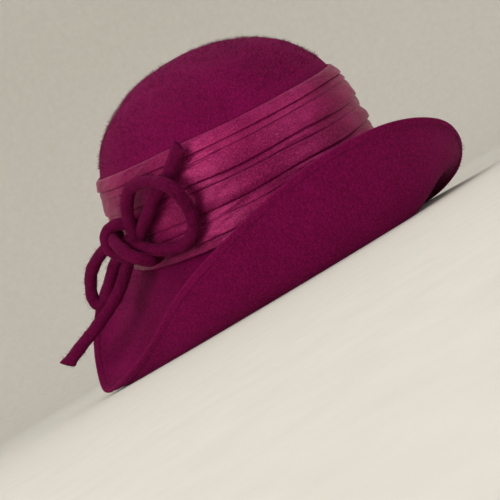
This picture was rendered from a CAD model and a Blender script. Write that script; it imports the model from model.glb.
"""Looks for the felt cloche hat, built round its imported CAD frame.

Lengths below are millimetres and are scaled to metres as each mesh is made. Angles go round +Z:
0 is the wearer's left, 90 the back, 180 the right and 270 the front.
"""

import math

import bpy
import numpy as np
from mathutils import Matrix, Vector


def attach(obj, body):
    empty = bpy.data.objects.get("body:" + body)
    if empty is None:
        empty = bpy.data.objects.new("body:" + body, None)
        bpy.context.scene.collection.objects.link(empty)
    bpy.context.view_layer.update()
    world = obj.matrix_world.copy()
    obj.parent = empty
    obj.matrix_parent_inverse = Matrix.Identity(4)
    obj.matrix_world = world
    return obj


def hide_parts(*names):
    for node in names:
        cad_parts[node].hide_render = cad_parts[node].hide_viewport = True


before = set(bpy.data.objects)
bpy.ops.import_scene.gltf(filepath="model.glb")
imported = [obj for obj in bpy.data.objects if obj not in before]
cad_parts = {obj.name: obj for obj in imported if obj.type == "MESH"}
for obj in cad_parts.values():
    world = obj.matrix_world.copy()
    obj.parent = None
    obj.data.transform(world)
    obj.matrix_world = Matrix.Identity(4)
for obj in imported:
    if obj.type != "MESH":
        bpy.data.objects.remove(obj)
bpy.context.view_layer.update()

MM = 0.001

# ---- Camera -------------------------------------------------------------------------------

CAMERA_AZIMUTH = -46.8  # degrees; 0 looks along +Y
CAMERA_ELEVATION = -1.6
CAMERA_ROLL = 31.0
CAMERA_DISTANCE = 0.78
CAMERA_LENS = 76.4
AIM_HEIGHT = 0.09  # the aim point, on the axis of the outline
AIM_RIGHT = -0.006  # where the aim point shows, right of the picture's middle
AIM_UP = 0.057  # and above it


def make_camera():
    azimuth, elevation, roll = map(
        math.radians, (CAMERA_AZIMUTH, CAMERA_ELEVATION, CAMERA_ROLL))
    back = Vector((math.sin(azimuth) * math.cos(elevation),
                   -math.cos(azimuth) * math.cos(elevation),
                   math.sin(elevation)))
    level_right = Vector((math.cos(azimuth), math.sin(azimuth), 0))
    level_up = back.cross(level_right)
    right = math.cos(roll) * level_right - math.sin(roll) * level_up
    up = math.sin(roll) * level_right + math.cos(roll) * level_up
    data = bpy.data.cameras.new("camera")
    data.lens = CAMERA_LENS
    data.clip_start = 0.01
    camera = bpy.data.objects.new("camera", data)
    bpy.context.collection.objects.link(camera)
    turn = Matrix((right, up, back)).transposed().to_4x4()
    aim = Vector((0, 0, AIM_HEIGHT))
    place = aim - AIM_RIGHT * right - AIM_UP * up + CAMERA_DISTANCE * back
    camera.matrix_world = Matrix.Translation(place) @ turn
    bpy.context.scene.camera = camera


make_camera()

# ---- Shape: the same driving dimensions as the CAD part ------------------------------------

FELT = 2.4
OUTLINE_MIDDLE = np.array([-3.4, -21.6, 0])
HEAD_X = 89.5
HEAD_Y = 101
CROWN_BASE = np.array([-13, -23, 59])
CROWN_LEAN_X = -6.1
CROWN_LEAN_Y = -10.5
CROWN_HEIGHT = 124
WALL_HEIGHT = 41
DOME_POWER = 2.16
CROWN_FOOT = 4
COLLAR_EASE = 0.6
COLLAR_TOP = 14
COLLAR_FOOT = -1
FOLD_PULL = 42

# angle, reach and height of the fold, reach and height of the edge
BRIM_SECTIONS = np.array([
    (0, 113, 31, 148, 2),
    (20, 113, 43, 143, 18),
    (40, 112, 55, 136, 38),
    (60, 109, 66, 129, 58),
    (80, 104, 73, 125, 75),
    (100, 104, 75, 126, 85),
    (115, 108, 68, 129, 76),
    (130, 114, 54, 138, 54),
    (142, 121, 36, 149, 28),
    (152, 125, 19, 157, 6),
    (165, 125, 4, 154, 5),
    (180, 125, 0, 148, 14),
    (200, 127, 0, 150, 35),
    (220, 132, 0, 155, 49),
    (240, 139, 0, 162, 59),
    (260, 144, 0, 167, 58),
    (280, 144, 13, 167, 46),
    (300, 138, 15, 162, 27),
    (320, 131, 17, 155, 9),
    (340, 121, 22, 150, 1),
], dtype=float)


def unit(vectors):
    return vectors / np.maximum(np.linalg.norm(vectors, axis=-1, keepdims=True), 1e-9)


crown_axis = unit(np.array([
    math.tan(math.radians(CROWN_LEAN_X)), math.tan(math.radians(CROWN_LEAN_Y)), 1.0]))
crown_x = unit(np.array([1.0, 0, 0]) - crown_axis * crown_axis[0])
crown_y = np.cross(crown_axis, crown_x)
CROWN_TURN = np.stack([crown_x, crown_y, crown_axis])


def crown_share(height):
    t = np.clip((height - WALL_HEIGHT) / (CROWN_HEIGHT - WALL_HEIGHT), 0, 1)
    return (1 - t ** DOME_POWER) ** (1 / DOME_POWER)


def crown_points(angle, height, offset):
    """Points on the crown's wall moved out by offset; all three arguments broadcast."""
    angle, height, offset = np.broadcast_arrays(angle, height, offset)
    share = crown_share(height)
    x = (HEAD_X * share + offset) * np.cos(angle)
    y = (HEAD_Y * share + offset) * np.sin(angle)
    return np.stack([x, y, height], -1) @ CROWN_TURN + CROWN_BASE


def hermite(start, start_slope, end, end_slope, t):
    s = 1 - t
    return (s * s * ((1 + 2 * t) * start + t * start_slope)
            + t * t * ((1 + 2 * s) * end - s * end_slope))


def brim_value(column, degrees):
    """Smooth value of a column of BRIM_SECTIONS at each angle."""
    rows = np.vstack([BRIM_SECTIONS[-2:] - [360, 0, 0, 0, 0], BRIM_SECTIONS,
                      BRIM_SECTIONS[:3] + [360, 0, 0, 0, 0]])
    angles, values = rows[:, 0], rows[:, column]
    degrees = np.mod(degrees, 360)
    k = np.searchsorted(angles, degrees, side="right") - 1
    span = angles[k + 1] - angles[k]
    start_slope = span * (values[k + 1] - values[k - 1]) / (angles[k + 1] - angles[k - 1])
    end_slope = span * (values[k + 2] - values[k]) / (angles[k + 2] - angles[k])
    t = (degrees - angles[k]) / span
    return hermite(values[k], start_slope, values[k + 1], end_slope, t)


def plan_points(angle, reach, height):
    return np.stack([reach * np.cos(angle), reach * np.sin(angle), height], -1)


def waves(points, wavelength, seed, count=9):
    """A smooth random field of about unit size, from sines in seeded directions."""
    random = np.random.default_rng(seed)
    total = np.zeros(points.shape[:-1])
    for _ in range(count):
        direction = unit(random.normal(size=3)) * 2 * math.pi / wavelength
        direction = direction * random.uniform(0.6, 1.6)
        total += np.sin(points @ direction + random.uniform(0, 2 * math.pi))
    return total / math.sqrt(count / 2)


# ---- Mesh helpers -------------------------------------------------------------------------


def make_object(name, points, faces, material, slot):
    mesh = bpy.data.meshes.new(name)
    mesh.from_pydata(((points - OUTLINE_MIDDLE) * MM).tolist(), [], faces)
    mesh.update()
    mesh.shade_smooth()
    mesh.materials.append(material)
    obj = bpy.data.objects.new(name, mesh)
    bpy.context.collection.objects.link(obj)
    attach(obj, "root")
    return obj


def ring_faces(around, size, closed=True):
    """Quads over a row of sections that closes round the head, each of size points."""
    faces = []
    last = size if closed else size - 1
    for i in range(around):
        here, there = i * size, (i + 1) % around * size
        for j in range(last):
            k = (j + 1) % size
            faces.append((here + j, there + j, there + k, here + k))
    return faces


TUBE_SIDE = (0.3, 0.5, 0.8)  # any direction that no tube starts along


def tube(points, radius, sides):
    """A closed round tube along points."""
    tangents = unit(np.gradient(points, axis=0))
    side = unit(np.cross(tangents[0], TUBE_SIDE))
    turn = np.linspace(0, 2 * math.pi, sides, endpoint=False)
    radius = np.broadcast_to(radius, len(points))
    rings = []
    for point, tangent, r in zip(points, tangents, radius):
        side = unit(side - tangent * (side @ tangent))
        up = np.cross(tangent, side)
        rings.append(point + r * (np.cos(turn)[:, None] * side + np.sin(turn)[:, None] * up))
    vertices = np.concatenate(rings)
    faces = ring_faces_along(len(points), sides)
    faces.append(tuple(range(sides))[::-1])
    faces.append(tuple(range(len(vertices) - sides, len(vertices))))
    return vertices, faces


def ring_faces_along(count, sides):
    """Quads between rings that follow one another."""
    faces = []
    for i in range(count - 1):
        for j in range(sides):
            k = (j + 1) % sides
            a, b = i * sides, (i + 1) * sides
            faces.append((a + j, a + k, b + k, b + j))
    return faces


def join_parts(parts):
    points, faces, start = [], [], 0
    for part_points, part_faces in parts:
        points.append(part_points)
        faces += [tuple(start + v for v in face) for face in part_faces]
        start += len(part_points)
    return np.concatenate(points), faces


ROUTE_STEPS = 24  # between two points of a route, before it is spaced evenly


def smooth_route(route, step):
    """Catmull-Rom points about step apart through a short route."""
    route = np.asarray(route, float)
    padded = np.vstack([2 * route[0] - route[1], route, 2 * route[-1] - route[-2]])
    pieces = []
    for a, b, c, d in zip(padded, padded[1:], padded[2:], padded[3:]):
        t = np.linspace(0, 1, ROUTE_STEPS, endpoint=False)[:, None]
        pieces.append(hermite(b, (c - a) / 2, c, (d - b) / 2, t))
    dense = np.vstack(pieces + [route[-1:]])
    length = np.concatenate([[0], np.cumsum(np.linalg.norm(np.diff(dense, axis=0), axis=1))])
    count = max(4, int(length[-1] / step))
    at = np.linspace(0, length[-1], count)
    return np.stack([np.interp(at, length, dense[:, k]) for k in range(3)], -1)


# ---- Materials ----------------------------------------------------------------------------


class Nodes:
    """A material's node tree, with a short way to add and link nodes."""

    def __init__(self, name):
        self.material = bpy.data.materials.new(name)
        self.material.use_nodes = True
        self.tree = self.material.node_tree
        self.shader = self.tree.nodes["Principled BSDF"]
        self.place = self.add("ShaderNodeTexCoord").outputs["Object"]

    def add(self, kind, **inputs):
        node = self.tree.nodes.new(kind)
        for name, value in inputs.items():
            node.inputs[name.replace("_", " ")].default_value = value
        return node

    def link(self, output, target):
        self.tree.links.new(output, target)

    def noise(self, scale, detail=3.0, roughness=0.6, vector=None):
        node = self.add("ShaderNodeTexNoise", Scale=scale, Detail=detail, Roughness=roughness)
        self.link(vector or self.place, node.inputs["Vector"])
        return node.outputs["Fac"]

    def ramp(self, factor, *stops):
        node = self.add("ShaderNodeValToRGB")
        elements = node.color_ramp.elements
        while len(elements) < len(stops):
            elements.new(0.5)
        for element, (position, colour) in zip(elements, stops):
            element.position = position
            element.color = (*colour, 1)
        self.link(factor, node.inputs["Fac"])
        return node.outputs["Color"]

    def mix(self, factor, first, second):
        node = self.tree.nodes.new("ShaderNodeMix")
        node.data_type = "RGBA"
        node.inputs["Factor"].default_value = factor
        self.link(first, node.inputs["A"])
        self.link(second, node.inputs["B"])
        return node.outputs["Result"]

    def stretched(self, scale):
        node = self.add("ShaderNodeMapping")
        node.inputs["Scale"].default_value = scale
        self.link(self.place, node.inputs["Vector"])
        return node.outputs["Vector"]

    def bump(self, height, strength, distance, below=None):
        node = self.add("ShaderNodeBump", Strength=strength, Distance=distance)
        self.link(height, node.inputs["Height"])
        if below:
            self.link(below, node.inputs["Normal"])
        return node.outputs["Normal"]


def felt_material(name, dark, mid, light, fuzz):
    """Wool felt: mottled colour, matted fibres and a soft bloom of loose fibre ends."""
    nodes = Nodes(name)
    broad = nodes.noise(22, 3)
    fibres = nodes.noise(900, 4, 0.75)
    tangled = nodes.noise(680, 5, 0.7, nodes.stretched((1, 1.7, 0.8)))
    broad_colour = nodes.ramp(broad, (0.3, dark), (0.55, mid), (0.8, light))
    fibre_colour = nodes.ramp(tangled, (0.38, dark), (0.5, mid), (0.63, light))
    nodes.link(nodes.mix(0.7, broad_colour, fibre_colour), nodes.shader.inputs["Base Color"])
    coarse = nodes.bump(tangled, 0.6, 0.0007)
    nodes.link(nodes.bump(fibres, 0.45, 0.0003, coarse), nodes.shader.inputs["Normal"])
    nodes.shader.inputs["Roughness"].default_value = 0.95
    nodes.shader.inputs["Specular IOR Level"].default_value = 0.06
    nodes.shader.inputs["Sheen Weight"].default_value = fuzz
    nodes.shader.inputs["Sheen Roughness"].default_value = 0.5
    nodes.shader.inputs["Sheen Tint"].default_value = (0.95, 0.1, 0.4, 1)
    return nodes.material


def satin_material():
    """Satin: a smooth shiny face with a fine grain, streaked along the weave."""
    nodes = Nodes("satin")
    dark, mid, light = (0.08, 0.0012, 0.022), (0.17, 0.004, 0.055), (0.38, 0.024, 0.13)
    broad = nodes.noise(30, 3)
    grain = nodes.noise(1100, 2, 0.8)
    streaks = nodes.noise(160, 4, 0.6, nodes.stretched((1, 1, 7)))
    broad_colour = nodes.ramp(broad, (0.3, dark), (0.5, mid), (0.72, light))
    grain_colour = nodes.ramp(grain, (0.34, dark), (0.5, mid), (0.66, light))
    nodes.link(nodes.mix(0.65, broad_colour, grain_colour), nodes.shader.inputs["Base Color"])
    rough = nodes.ramp(streaks, (0.3, (0.3,) * 3), (0.7, (0.44,) * 3))
    nodes.link(rough, nodes.shader.inputs["Roughness"])
    soft = nodes.bump(streaks, 0.25, 0.0005)
    nodes.link(nodes.bump(grain, 0.5, 0.00025, soft), nodes.shader.inputs["Normal"])
    nodes.shader.inputs["Metallic"].default_value = 0.25
    nodes.shader.inputs["Specular IOR Level"].default_value = 0.4
    nodes.shader.inputs["Specular Tint"].default_value = (1, 0.25, 0.5, 1)
    return nodes.material


def thread_material():
    """Sewing thread in the felt's colour, a little shinier than the felt."""
    nodes = Nodes("thread")
    twist = nodes.noise(2500, 2)
    colour = nodes.ramp(twist, (0.35, (0.1, 0.0012, 0.03)), (0.65, (0.16, 0.002, 0.052)))
    nodes.link(colour, nodes.shader.inputs["Base Color"])
    nodes.link(nodes.bump(twist, 0.4, 0.0001), nodes.shader.inputs["Normal"])
    nodes.shader.inputs["Specular IOR Level"].default_value = 0.1
    nodes.shader.inputs["Roughness"].default_value = 0.6
    return nodes.material


felt = felt_material(
    "felt", (0.075, 0.0009, 0.022), (0.125, 0.0016, 0.041), (0.2, 0.0035, 0.07), 0.1)
rolled_felt = felt_material(
    "rolled_felt", (0.055, 0.0008, 0.017), (0.09, 0.0014, 0.029), (0.14, 0.003, 0.048), 0.1)
satin = satin_material()
thread = thread_material()

# ---- Crown --------------------------------------------------------------------------------

CROWN_AROUND = 300
CROWN_ROWS = 84
INNER_SLACK = 0.02  # keeps the inner face just inside the wall's thickness
DOME_CENTRE = 60.0  # height above the headline that the dome bulges out from
UNEVEN_FROM = 60  # the band hides the crown below this height
UNEVEN_FADE = 20


def make_crown():
    """The dome, felt inside and out, with the slight unevenness of hand blocking."""
    angle = np.linspace(0, 2 * math.pi, CROWN_AROUND, endpoint=False)[:, None]
    rise = np.sin(np.linspace(0, math.pi / 2, CROWN_ROWS)[:-1])
    height = CROWN_FOOT + (CROWN_HEIGHT - CROWN_FOOT) * rise[None, :]
    outer = crown_points(angle, height, 0.0)
    inner_height = CROWN_FOOT + (CROWN_HEIGHT - FELT - CROWN_FOOT) * rise[None, :]
    share = crown_share(inner_height * CROWN_HEIGHT / (CROWN_HEIGHT - FELT))
    wall = np.maximum(share, 0) * FELT
    inner = crown_points(angle, inner_height, -wall - INNER_SLACK)
    centre = crown_points(0.0, DOME_CENTRE, -HEAD_X)[None, None, :]
    outward = unit(outer - centre)
    uneven = 0.35 * waves(outer, 55, 3) + 0.16 * waves(outer, 17, 4)
    fade = np.clip((height - UNEVEN_FROM) / UNEVEN_FADE, 0, 1)
    outer = outer + outward * (uneven * fade)[..., None]
    section = np.concatenate([inner[:, ::-1], outer], axis=1)
    size = section.shape[1]
    points = section.reshape(-1, 3)
    faces = ring_faces(CROWN_AROUND, size, closed=False)
    inner_pole = crown_points(0.0, CROWN_HEIGHT - FELT, 0.0)
    outer_pole = crown_points(0.0, float(CROWN_HEIGHT), 0.0)
    points = np.vstack([points, inner_pole, outer_pole])
    inner_index, outer_index = len(points) - 2, len(points) - 1
    for i in range(CROWN_AROUND):
        k = (i + 1) % CROWN_AROUND
        faces.append((inner_index, k * size, i * size))
        faces.append((outer_index, i * size + size - 1, k * size + size - 1))
    crown = make_object("crown_felt", points, faces, felt, "felt")
    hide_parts("crown")


make_crown()

# ---- Brim ---------------------------------------------------------------------------------

BRIM_AROUND = 320
BRIM_INNER_ROWS = 46
EDGE_FINE = 9.0  # the last stretch before the edge, in finer rows
EDGE_ROWS = 20
STITCH_INSET = 4.8
STITCH_GROOVE = 0.45
EDGE_SWELL = 0.3
GROOVE_WIDTH = 0.8
SWELL_STEEPNESS = 3
RIM_TURNS = 5
RIM_REACH = 0.9  # how far out the rim's rounding goes, for half a wall
DENSE_STEPS = 60  # along each half of a section, before its rows are spaced
COLLAR_ROWS = 6
FAR_FROM_EDGE = 1e3
SWAY_WIDTH = 60  # the brim's unevenness grows over this stretch before the edge
SWAY_STILL = 3  # and fades again in the last stretch


def relaxed_pull(start, end, other_pull):
    """The pull at one end of a stretch that lets the curve run out straight there."""
    return 1.5 * (end - start) - 0.5 * other_pull


def brim_middle(angle):
    """Middle of the felt, in rows from the collar's top to the edge, and each row's inset."""
    degrees = np.degrees(angle)
    collar_offset = -(FELT + COLLAR_EASE + FELT / 2)
    collar_top = crown_points(angle, COLLAR_TOP, collar_offset)
    head = crown_points(angle, COLLAR_FOOT, collar_offset)
    fold = plan_points(angle, brim_value(1, degrees), brim_value(2, degrees))
    edge = plan_points(angle, brim_value(3, degrees), brim_value(4, degrees))
    fold_pull = unit(edge - head) * FOLD_PULL
    head_pull = relaxed_pull(head, fold, fold_pull)
    edge_pull = relaxed_pull(fold, edge, fold_pull)
    t = np.linspace(0, 1, DENSE_STEPS)[None, :, None]
    inner = hermite(head[:, None], head_pull[:, None], fold[:, None], fold_pull[:, None], t)
    outer = hermite(fold[:, None], fold_pull[:, None], edge[:, None], edge_pull[:, None], t)
    dense = np.concatenate([inner[:, :-1], outer], axis=1)
    steps = np.linalg.norm(np.diff(dense, axis=1), axis=2)
    length = np.concatenate([np.zeros((len(angle), 1)), np.cumsum(steps, axis=1)], axis=1)
    rows = np.empty((len(angle), BRIM_INNER_ROWS + EDGE_ROWS, 3))
    inset = np.empty(rows.shape[:2])
    for i in range(len(angle)):
        total = length[i, -1]
        at = np.concatenate([
            np.linspace(0, total - EDGE_FINE, BRIM_INNER_ROWS, endpoint=False),
            np.linspace(total - EDGE_FINE, total, EDGE_ROWS)])
        inset[i] = total - at
        for axis in range(3):
            rows[i, :, axis] = np.interp(at, length[i], dense[i, :, axis])
    drop = np.linspace(0, 1, COLLAR_ROWS, endpoint=False)[None, :, None]
    collar = collar_top[:, None] + (head - collar_top)[:, None] * drop
    far = np.full((len(angle), COLLAR_ROWS), FAR_FROM_EDGE)
    return np.concatenate([collar, rows], axis=1), np.concatenate([far, inset], axis=1)


def brim_skins():
    """The felt's two faces and the distance of each row from the edge."""
    angle = np.linspace(0, 2 * math.pi, BRIM_AROUND, endpoint=False)
    middle, inset = brim_middle(angle)
    along = np.gradient(middle, axis=1)
    across = np.roll(middle, -1, axis=0) - np.roll(middle, 1, axis=0)
    normal = unit(np.cross(along, across))
    groove = STITCH_GROOVE * np.exp(-((inset - STITCH_INSET) / GROOVE_WIDTH) ** 2)
    swell = EDGE_SWELL / (1 + np.exp((inset - STITCH_INSET) * SWELL_STEEPNESS))
    half = FELT / 2 + swell - groove
    near_edge = np.clip((SWAY_WIDTH - inset) / SWAY_WIDTH, 0, 1)
    loose = near_edge * np.clip(inset / SWAY_STILL, 0.3, 1)
    sway = (0.55 * waves(middle, 95, 11) + 0.22 * waves(middle, 30, 12)) * loose
    middle = middle + normal * sway[..., None]
    over = middle + normal * half[..., None]
    under = middle - normal * half[..., None]
    over[..., 2] = np.maximum(over[..., 2], FELT)
    under[..., 2] = np.maximum(under[..., 2], 0)
    return over, under, inset


def brim_rim(over, under):
    """Points that round the edge off from the under face to the over face."""
    centre = (over[:, -1] + under[:, -1]) / 2
    lift = (over[:, -1] - under[:, -1]) / 2
    out = unit((over[:, -1] + under[:, -1]) - (over[:, -3] + under[:, -3]))
    out = out * np.linalg.norm(lift, axis=1, keepdims=True) * RIM_REACH
    turns = np.linspace(0, math.pi, RIM_TURNS + 2)[1:-1]
    rim = np.stack([centre - lift * math.cos(t) + out * math.sin(t) for t in turns], axis=1)
    rim[..., 2] = np.maximum(rim[..., 2], 0)
    return rim


def make_brim():
    """The brim's mesh; returns the two lines that its stitching follows."""
    over, under, inset = brim_skins()
    section = np.concatenate([under, brim_rim(over, under), over[:, ::-1]], axis=1)
    faces = ring_faces(BRIM_AROUND, section.shape[1])
    brim = make_object("brim_felt", section.reshape(-1, 3), faces, felt, "felt")
    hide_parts("brim")
    row = int(np.argmin(np.abs(inset[0] - STITCH_INSET)))
    return over[:, row], under[:, row]


STITCH_PITCH = 3.4
STITCH_LENGTH = 2.3
STITCH_RADIUS = 0.24
STITCH_POINTS = 4
STITCH_SIDES = 5
STITCH_TAPER = np.array([0.5, 1, 1, 0.5])
STITCH_CLEAR = 0.05  # least height above the floor


def make_stitching(lines):
    """Rows of machine stitches sunk in the groove inside the edge, on both faces."""
    parts = []
    for line in lines:
        closed = np.vstack([line, line[:1]])
        steps = np.linalg.norm(np.diff(closed, axis=0), axis=1)
        length = np.concatenate([[0], np.cumsum(steps)])
        for start in np.arange(0, length[-1] - STITCH_PITCH, STITCH_PITCH):
            at = start + np.linspace(0, STITCH_LENGTH, STITCH_POINTS)
            points = np.stack([np.interp(at, length, closed[:, k]) for k in range(3)], -1)
            parts.append(tube(points, STITCH_RADIUS * STITCH_TAPER, STITCH_SIDES))
    points, faces = join_parts(parts)
    points[:, 2] = np.maximum(points[:, 2], STITCH_CLEAR)
    make_object("brim_stitching", points, faces, thread, "felt")


make_stitching(make_brim())

# ---- Band ---------------------------------------------------------------------------------

BAND_AROUND = 360
BAND_EASE = 0.9
BAND_CLOTH = 0.5
BAND_MIDDLE = 40.0  # height above the headline
BAND_INNER_ROWS = 12
PLEAT_ROWS = 14
ROW_CROWDING = 1.6  # packs a pleat's rows towards its lip
TUCK_CURVE = 1.3
SWELL_CHANGE = 0.3  # how much a pleat's fullness changes round the head
BOW_ANGLE = math.radians(165)
# Each pleat from its lower lip up: height of the lip at the bow, on the far side, how far the
# lip stands out, how far it hangs over the pleat below, and how much its line wanders.
PLEATS = np.array([
    (3.6, 4.0, 1.2, 0.2, 0.1),
    (10, 10, 3.1, 1.2, 1.0),
    (22, 22, 1.7, 1.3, 1.9),
    (29, 26, 2.2, 1.5, 1.9),
    (42, 40, 1.5, 1.1, 2.2),
    (48, 44, 2.0, 1.5, 1.9),
    (60, 59, 1.3, 1.0, 1.2),
    (66, 63, 1.8, 1.2, 1.0),
    (73.5, 71.5, 0.0, 0.0, 0.6),
])
LIP_SHARE = 0.16  # the share of a pleat that its rounded lip takes
FAR_SWELL = 0.5  # how much fuller the pleats are away from the bow
TUCK_SHARE = 0.3  # how far out the cloth still stands where it tucks under the next lip


def wander(angle, seed):
    """A slow seeded wave round the head, of about unit size."""
    random = np.random.default_rng(seed)
    total = np.zeros_like(angle)
    for turns in (2, 3, 5, 8):
        total += np.sin(turns * angle + random.uniform(0, 2 * math.pi)) / turns ** 0.6
    return total / 1.4


def make_band():
    """Satin folded over itself in uneven pleats that spread out towards the bow."""
    angle = np.linspace(0, 2 * math.pi, BAND_AROUND, endpoint=False)
    fan = 0.5 + 0.5 * np.cos(angle - BOW_ANGLE)
    lines = [
        far + (near - far) * fan + stray * wander(angle, 40 + k)
        for k, (near, far, _, _, stray) in enumerate(PLEATS)
    ]
    rows = []
    for k in range(len(PLEATS) - 1):
        _, _, bulge, hang, _ = PLEATS[k]
        swell = bulge * (1 + SWELL_CHANGE * wander(angle, 60 + k)) * (1 + FAR_SWELL * (1 - fan))
        for row in range(PLEAT_ROWS):
            t = (row / PLEAT_ROWS) ** ROW_CROWDING
            lip = hang * math.sin(math.pi * min(t / (2 * LIP_SHARE), 1.0))
            height = lines[k] + (lines[k + 1] - lines[k]) * t - lip
            round_in = math.sin(math.pi / 2 * min(t / LIP_SHARE, 1.0))
            stand = round_in * (1 - (1 - TUCK_SHARE) * t ** TUCK_CURVE)
            rows.append(crown_points(angle, height, BAND_EASE + BAND_CLOTH + swell * stand))
    rows.append(crown_points(angle, lines[-1], BAND_EASE + BAND_CLOTH))
    outer = np.stack(rows, axis=1)
    centre = crown_points(0.0, BAND_MIDDLE, -HEAD_X)
    outward = unit((outer - centre) * [1, 1, 0])
    ripple = 0.22 * waves(outer * [1, 1, 3.2], 38, 21) + 0.08 * waves(outer * [1, 1, 4], 12, 22)
    inside = np.ones(outer.shape[1])
    inside[[0, -1]] = 0
    outer = outer + outward * (ripple * inside)[..., None]
    inner = np.stack([
        crown_points(angle, lines[0] + (lines[-1] - lines[0]) * t, BAND_EASE)
        for t in np.linspace(0, 1, BAND_INNER_ROWS)
    ], axis=1)
    section = np.concatenate([outer, inner[:, ::-1]], axis=1)
    faces = ring_faces(BAND_AROUND, section.shape[1])
    faces = [face[::-1] for face in faces]
    band = make_object("band_satin", section.reshape(-1, 3), faces, satin, "satin")
    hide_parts("band")


make_band()

# ---- Bow ----------------------------------------------------------------------------------

ROLL_RADIUS = 4.3
ROLL_SIDES = 28
ROLL_STEP = 1.1
ROLL_WAVES = (47, 23, 11)  # lengths over which a roll's thickness changes
ROLL_CHANGE = 0.12
ROLL_DENTS = 0.1
STRANDS = {
    "bow_loop_large": [
        (-112, -6, 78), (-116, -11, 83), (-119, -15, 90), (-119, -20, 99), (-119, -28, 107),
        (-120, -40, 110), (-121, -54, 105), (-121, -66, 97), (-116, -67, 86), (-111, -62, 75),
        (-110, -56, 65), (-111, -47, 60), (-113, -36, 61), (-116, -25, 66), (-117, -15, 72),
        (-116, -7, 79), (-114, -1, 85)],
    "bow_loop_small": [
        (-116, 1, 83), (-116, 7, 85), (-117, 14, 87), (-118, 22, 88), (-119, 33, 85),
        (-121, 43, 80), (-122, 50, 71), (-124, 53, 62), (-123, 49, 56), (-120, 42, 60),
        (-117, 34, 68), (-115, 25, 75), (-114, 16, 79), (-115, 6, 81)],
    "bow_tail_upper": [
        (-112, -6, 79), (-114, -13, 82), (-115, -20, 85), (-116, -33, 90), (-115, -45, 96),
        (-113, -57, 100), (-110, -68, 106), (-106, -79, 114)],
    "bow_tail_lower": [
        (-114, -4, 78), (-116, 2, 74), (-118, 9, 70), (-117, 19, 65), (-119, 28, 59),
        (-124, 38, 53), (-132, 49, 47), (-141, 63, 41), (-152, 78, 34)],
}
# The turns of the roll that make the knot: round behind the strands, then over the front.
KNOT_TURNS = [
    [(-110, -10, 90), (-114, -3, 96), (-118, 5, 98), (-121, 11, 93), (-122, 12, 86),
     (-121, 9, 79), (-119, 3, 74), (-115, -3, 72)],
    [(-111, 8, 92), (-117, 7, 91), (-123, 2, 87), (-127, -5, 80), (-128, -11, 72),
     (-124, -15, 66), (-117, -15, 63), (-109, -13, 64)],
]
EASING = 24  # rounds of averaging that ease the bends of a roll
CUT_PINCH = 8.0  # the stretch before a cut end that is pressed flatter
CUT_SLANT = 0.55
CUT_THINNER = 0.3
CUT_WIDER = 0.22
CUT_HOLLOW = ((0.66, 0.0), (0.5, 1.2), (0.2, 1.6))  # rings inside a cut end: share, depth


def rolled(route, seed, cut=False):
    """A stretch of rolled felt with soft dents; a cut end is flatter, aslant and hollow."""
    points = smooth_route(route, ROLL_STEP)
    for _ in range(EASING):
        points[1:-1] = (points[:-2] + 2 * points[1:-1] + points[2:]) / 4
    count = len(points)
    random = np.random.default_rng(seed)
    phase = random.uniform(0, 2 * math.pi, 3)
    run = np.arange(count) * ROLL_STEP
    radius = np.full(count, ROLL_RADIUS)
    for k, wavelength in enumerate(ROLL_WAVES):
        radius += ROLL_CHANGE * np.sin(2 * math.pi * run / wavelength + phase[k])
    vertices, faces = tube(points, radius, ROLL_SIDES)
    middles = np.repeat(points, ROLL_SIDES, axis=0)
    dents = (ROLL_DENTS * waves(vertices, 6, seed))[:, None]
    vertices = vertices + unit(vertices - middles) * dents
    if cut:
        vertices, faces = cut_end(points, vertices, faces)
    return vertices, faces


def cut_end(points, vertices, faces):
    """Presses the last stretch flatter, slants its end and opens the roll's hollow."""
    tangent = unit(points[-1] - points[-4])
    flat_way = unit(np.cross(tangent, [0, 0, 1]))
    wide_way = np.cross(flat_way, tangent)
    middles = np.repeat(points, ROLL_SIDES, axis=0)
    left = np.linalg.norm(middles - points[-1], axis=1)
    press = np.clip(1 - left / CUT_PINCH, 0, 1)[:, None] ** 1.5
    spoke = vertices - middles
    flat = (spoke @ flat_way)[:, None]
    wide = (spoke @ wide_way)[:, None]
    vertices = (vertices - press * CUT_THINNER * flat * flat_way
                + press * CUT_WIDER * wide * wide_way
                + press * CUT_SLANT * wide * tangent)
    last = vertices[-ROLL_SIDES:]
    centre = last.mean(axis=0)
    start = len(vertices) - ROLL_SIDES
    rings = [centre + (last - centre) * share - tangent * depth for share, depth in CUT_HOLLOW]
    vertices = np.concatenate([vertices, *rings])
    faces = faces[:-1]
    for face in ring_faces_along(len(CUT_HOLLOW) + 1, ROLL_SIDES):
        faces.append(tuple(start + v for v in face))
    faces.append(tuple(range(len(vertices) - ROLL_SIDES, len(vertices))))
    return vertices, faces


def make_bow():
    for seed, (name, route) in enumerate(STRANDS.items()):
        vertices, faces = rolled(route, 70 + seed, cut="tail" in name)
        strand = make_object(name + "_roll", vertices, faces, rolled_felt, "rolled_felt")
        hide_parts(name)
    turns = [rolled(route, 80 + k) for k, route in enumerate(KNOT_TURNS)]
    vertices, faces = join_parts(turns)
    knot = make_object("bow_knot_roll", vertices, faces, rolled_felt, "rolled_felt")
    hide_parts("bow_knot")


make_bow()

# ---- Loose hairs --------------------------------------------------------------------------

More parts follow.
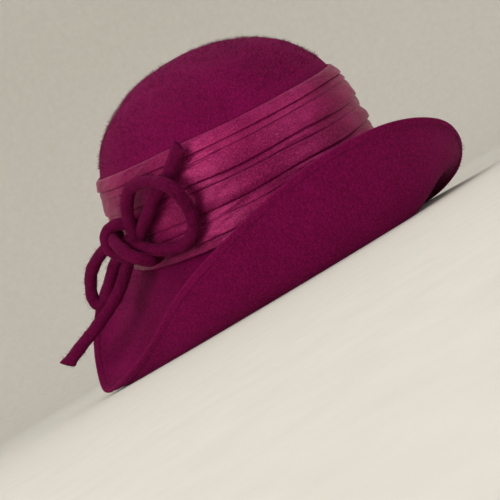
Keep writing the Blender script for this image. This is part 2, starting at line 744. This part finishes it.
HAIR_RADIUS = 0.09
HAIR_LENGTHS = (1.0, 3.2)
HAIR_LEAN = 0.9  # how far hairs lean away from straight out
HAIR_ROOT = 0.25  # how deep a hair starts in the felt
HAIR_CURL = 0.25
HAIR_TAPER = 0.8  # thickness half way up
HAIR_SIDE = (0.36, 0.48, 0.8)  # any direction, to build a hair's sides from
HAIR_POINTS = 7
FLOOR_CLEAR = 0.3
HAIRY_FROM = 80  # lowest height of hairs on the crown, above the band
HAIRY_BRIM = 70  # hairs reach this far in from the brim's edge
CROWN_HAIRS = 12000
OVER_BRIM_HAIRS = 9000
UNDER_BRIM_HAIRS = 5000
BOW_HAIRS = 4500


def hairs(roots, outward, count, seed):
    """Fine tapered hairs standing on a felt face, at randomly chosen points of it."""
    random = np.random.default_rng(seed)
    roots, outward = roots.reshape(-1, 3), unit(outward.reshape(-1, 3))
    chosen = random.integers(0, len(roots), count)
    lean = random.normal(size=(count, 3)) * HAIR_LEAN / math.sqrt(3)
    way = unit(outward[chosen] + lean)
    curl = random.normal(size=(count, 3)) * HAIR_CURL
    length = random.uniform(*HAIR_LENGTHS, size=(count, 1))
    root = roots[chosen] - outward[chosen] * HAIR_ROOT
    middle = root + way * length * 0.5
    tip = root + (way + curl) * length
    keep = np.minimum(middle[:, 2], tip[:, 2]) > FLOOR_CLEAR
    keep &= np.einsum("ij,ij->i", tip - roots[chosen], outward[chosen]) > HAIR_ROOT
    root, middle, tip, way = root[keep], middle[keep], tip[keep], way[keep]
    side = unit(np.cross(way, HAIR_SIDE))
    up = np.cross(way, side)
    turns = [2 * math.pi * k / 3 for k in range(3)]
    spokes = [HAIR_RADIUS * (math.cos(a) * side + math.sin(a) * up) for a in turns]
    rings = [root + spoke for spoke in spokes] + [middle + HAIR_TAPER * spoke for spoke in spokes]
    vertices = np.stack(rings + [tip], axis=1).reshape(-1, 3)
    faces = []
    for start in range(0, len(vertices), HAIR_POINTS):
        a, b, c, d, e, f, g = range(start, start + HAIR_POINTS)
        faces += [(c, b, a), (a, b, e, d), (b, c, f, e), (c, a, d, f), (d, e, g), (e, f, g),
                  (f, d, g)]
    return vertices, faces


def make_hairs():
    """Loose hairs on the crown above the band, on both faces of the brim and on the bow."""
    angle = np.linspace(0, 2 * math.pi, 400, endpoint=False)[:, None]
    height = np.linspace(HAIRY_FROM, CROWN_HEIGHT - 0.5, 160)[None, :]
    dome = crown_points(angle, height, 0.0)
    centre = crown_points(0.0, DOME_CENTRE, -HEAD_X)
    crown_hairs = hairs(dome, dome - centre, CROWN_HAIRS, 91)

    over, under, inset = brim_skins()
    outside = inset < HAIRY_BRIM
    way = unit(over - under)
    over_hairs = hairs(over[outside], way[outside], OVER_BRIM_HAIRS, 92)
    under_hairs = hairs(under[outside], -way[outside], UNDER_BRIM_HAIRS, 93)
    make_object("crown_hairs", *crown_hairs, felt, "felt")
    make_object("brim_hairs", *join_parts([over_hairs, under_hairs]), felt, "felt")

    roots, ways = [], []
    for route in STRANDS.values():
        points = smooth_route(route, ROLL_STEP)
        vertices, _ = tube(points, ROLL_RADIUS, ROLL_SIDES)
        roots.append(vertices)
        ways.append(vertices - np.repeat(points, ROLL_SIDES, axis=0))
    vertices, faces = hairs(np.concatenate(roots), np.concatenate(ways), BOW_HAIRS, 94)
    make_object("bow_hairs", vertices, faces, rolled_felt, "rolled_felt")


make_hairs()

# ---- Studio -------------------------------------------------------------------------------

FLOOR_RADIUS = 1.5
COVE_RADIUS = 0.9
WALL_TOP = 2.6
FLOOR_RINGS = (0.4, 0.9)
FLOOR_AROUND = 96
COVE_STEPS = 12
LIGHTS_AIM = Vector((0, 0, 0.1))


def make_floor():
    """A pale floor that curves up into a round backdrop."""
    profile = [(radius, 0.0) for radius in FLOOR_RINGS]
    for k in range(COVE_STEPS + 1):
        a = math.pi / 2 * k / COVE_STEPS
        profile.append((FLOOR_RADIUS + COVE_RADIUS * math.sin(a), COVE_RADIUS * (1 - math.cos(a))))
    profile.append((FLOOR_RADIUS + COVE_RADIUS, WALL_TOP))
    points = []
    for i in range(FLOOR_AROUND):
        a = 2 * math.pi * i / FLOOR_AROUND
        points += [(r * math.cos(a), r * math.sin(a), z) for r, z in profile]
    points.append((0, 0, 0))
    size = len(profile)
    faces = ring_faces(FLOOR_AROUND, size, closed=False)
    for i in range(FLOOR_AROUND):
        faces.append((len(points) - 1, (i + 1) % FLOOR_AROUND * size, i * size))
    mesh = bpy.data.meshes.new("floor")
    mesh.from_pydata(points, [], faces)
    mesh.shade_smooth()
    nodes = Nodes("floor_paint")
    speckle = nodes.noise(60, 4)
    colour = nodes.ramp(speckle, (0.3, (0.62, 0.6, 0.55)), (0.7, (0.66, 0.64, 0.59)))
    nodes.link(colour, nodes.shader.inputs["Base Color"])
    nodes.shader.inputs["Roughness"].default_value = 0.9
    mesh.materials.append(nodes.material)
    floor = bpy.data.objects.new("floor", mesh)
    bpy.context.collection.objects.link(floor)


def make_light(name, place, size, power, colour):
    data = bpy.data.lights.new(name, "AREA")
    data.shape = "DISK"
    data.size = size
    data.energy = power
    data.color = colour
    light = bpy.data.objects.new(name, data)
    light.location = place
    light.rotation_mode = "QUATERNION"
    light.rotation_quaternion = (LIGHTS_AIM - Vector(place)).to_track_quat("-Z", "Y")
    bpy.context.collection.objects.link(light)


make_floor()
make_light("window", (-1.5, -0.2, 0.5), 0.8, 12, (1, 0.98, 0.95))
make_light("front_fill", (-0.2, -1.7, 0.6), 1.3, 8.5, (0.97, 0.98, 1))
make_light("top_soft", (0.3, 0.6, 1.9), 1.6, 1.5, (1, 0.99, 0.97))
world = bpy.data.worlds.new("world")
world.use_nodes = True
backdrop = world.node_tree.nodes["Background"]
backdrop.inputs["Color"].default_value = (1, 0.98, 0.95, 1)
backdrop.inputs["Strength"].default_value = 1.0
bpy.context.scene.world = world
bpy.context.scene.view_settings.view_transform = "Standard"
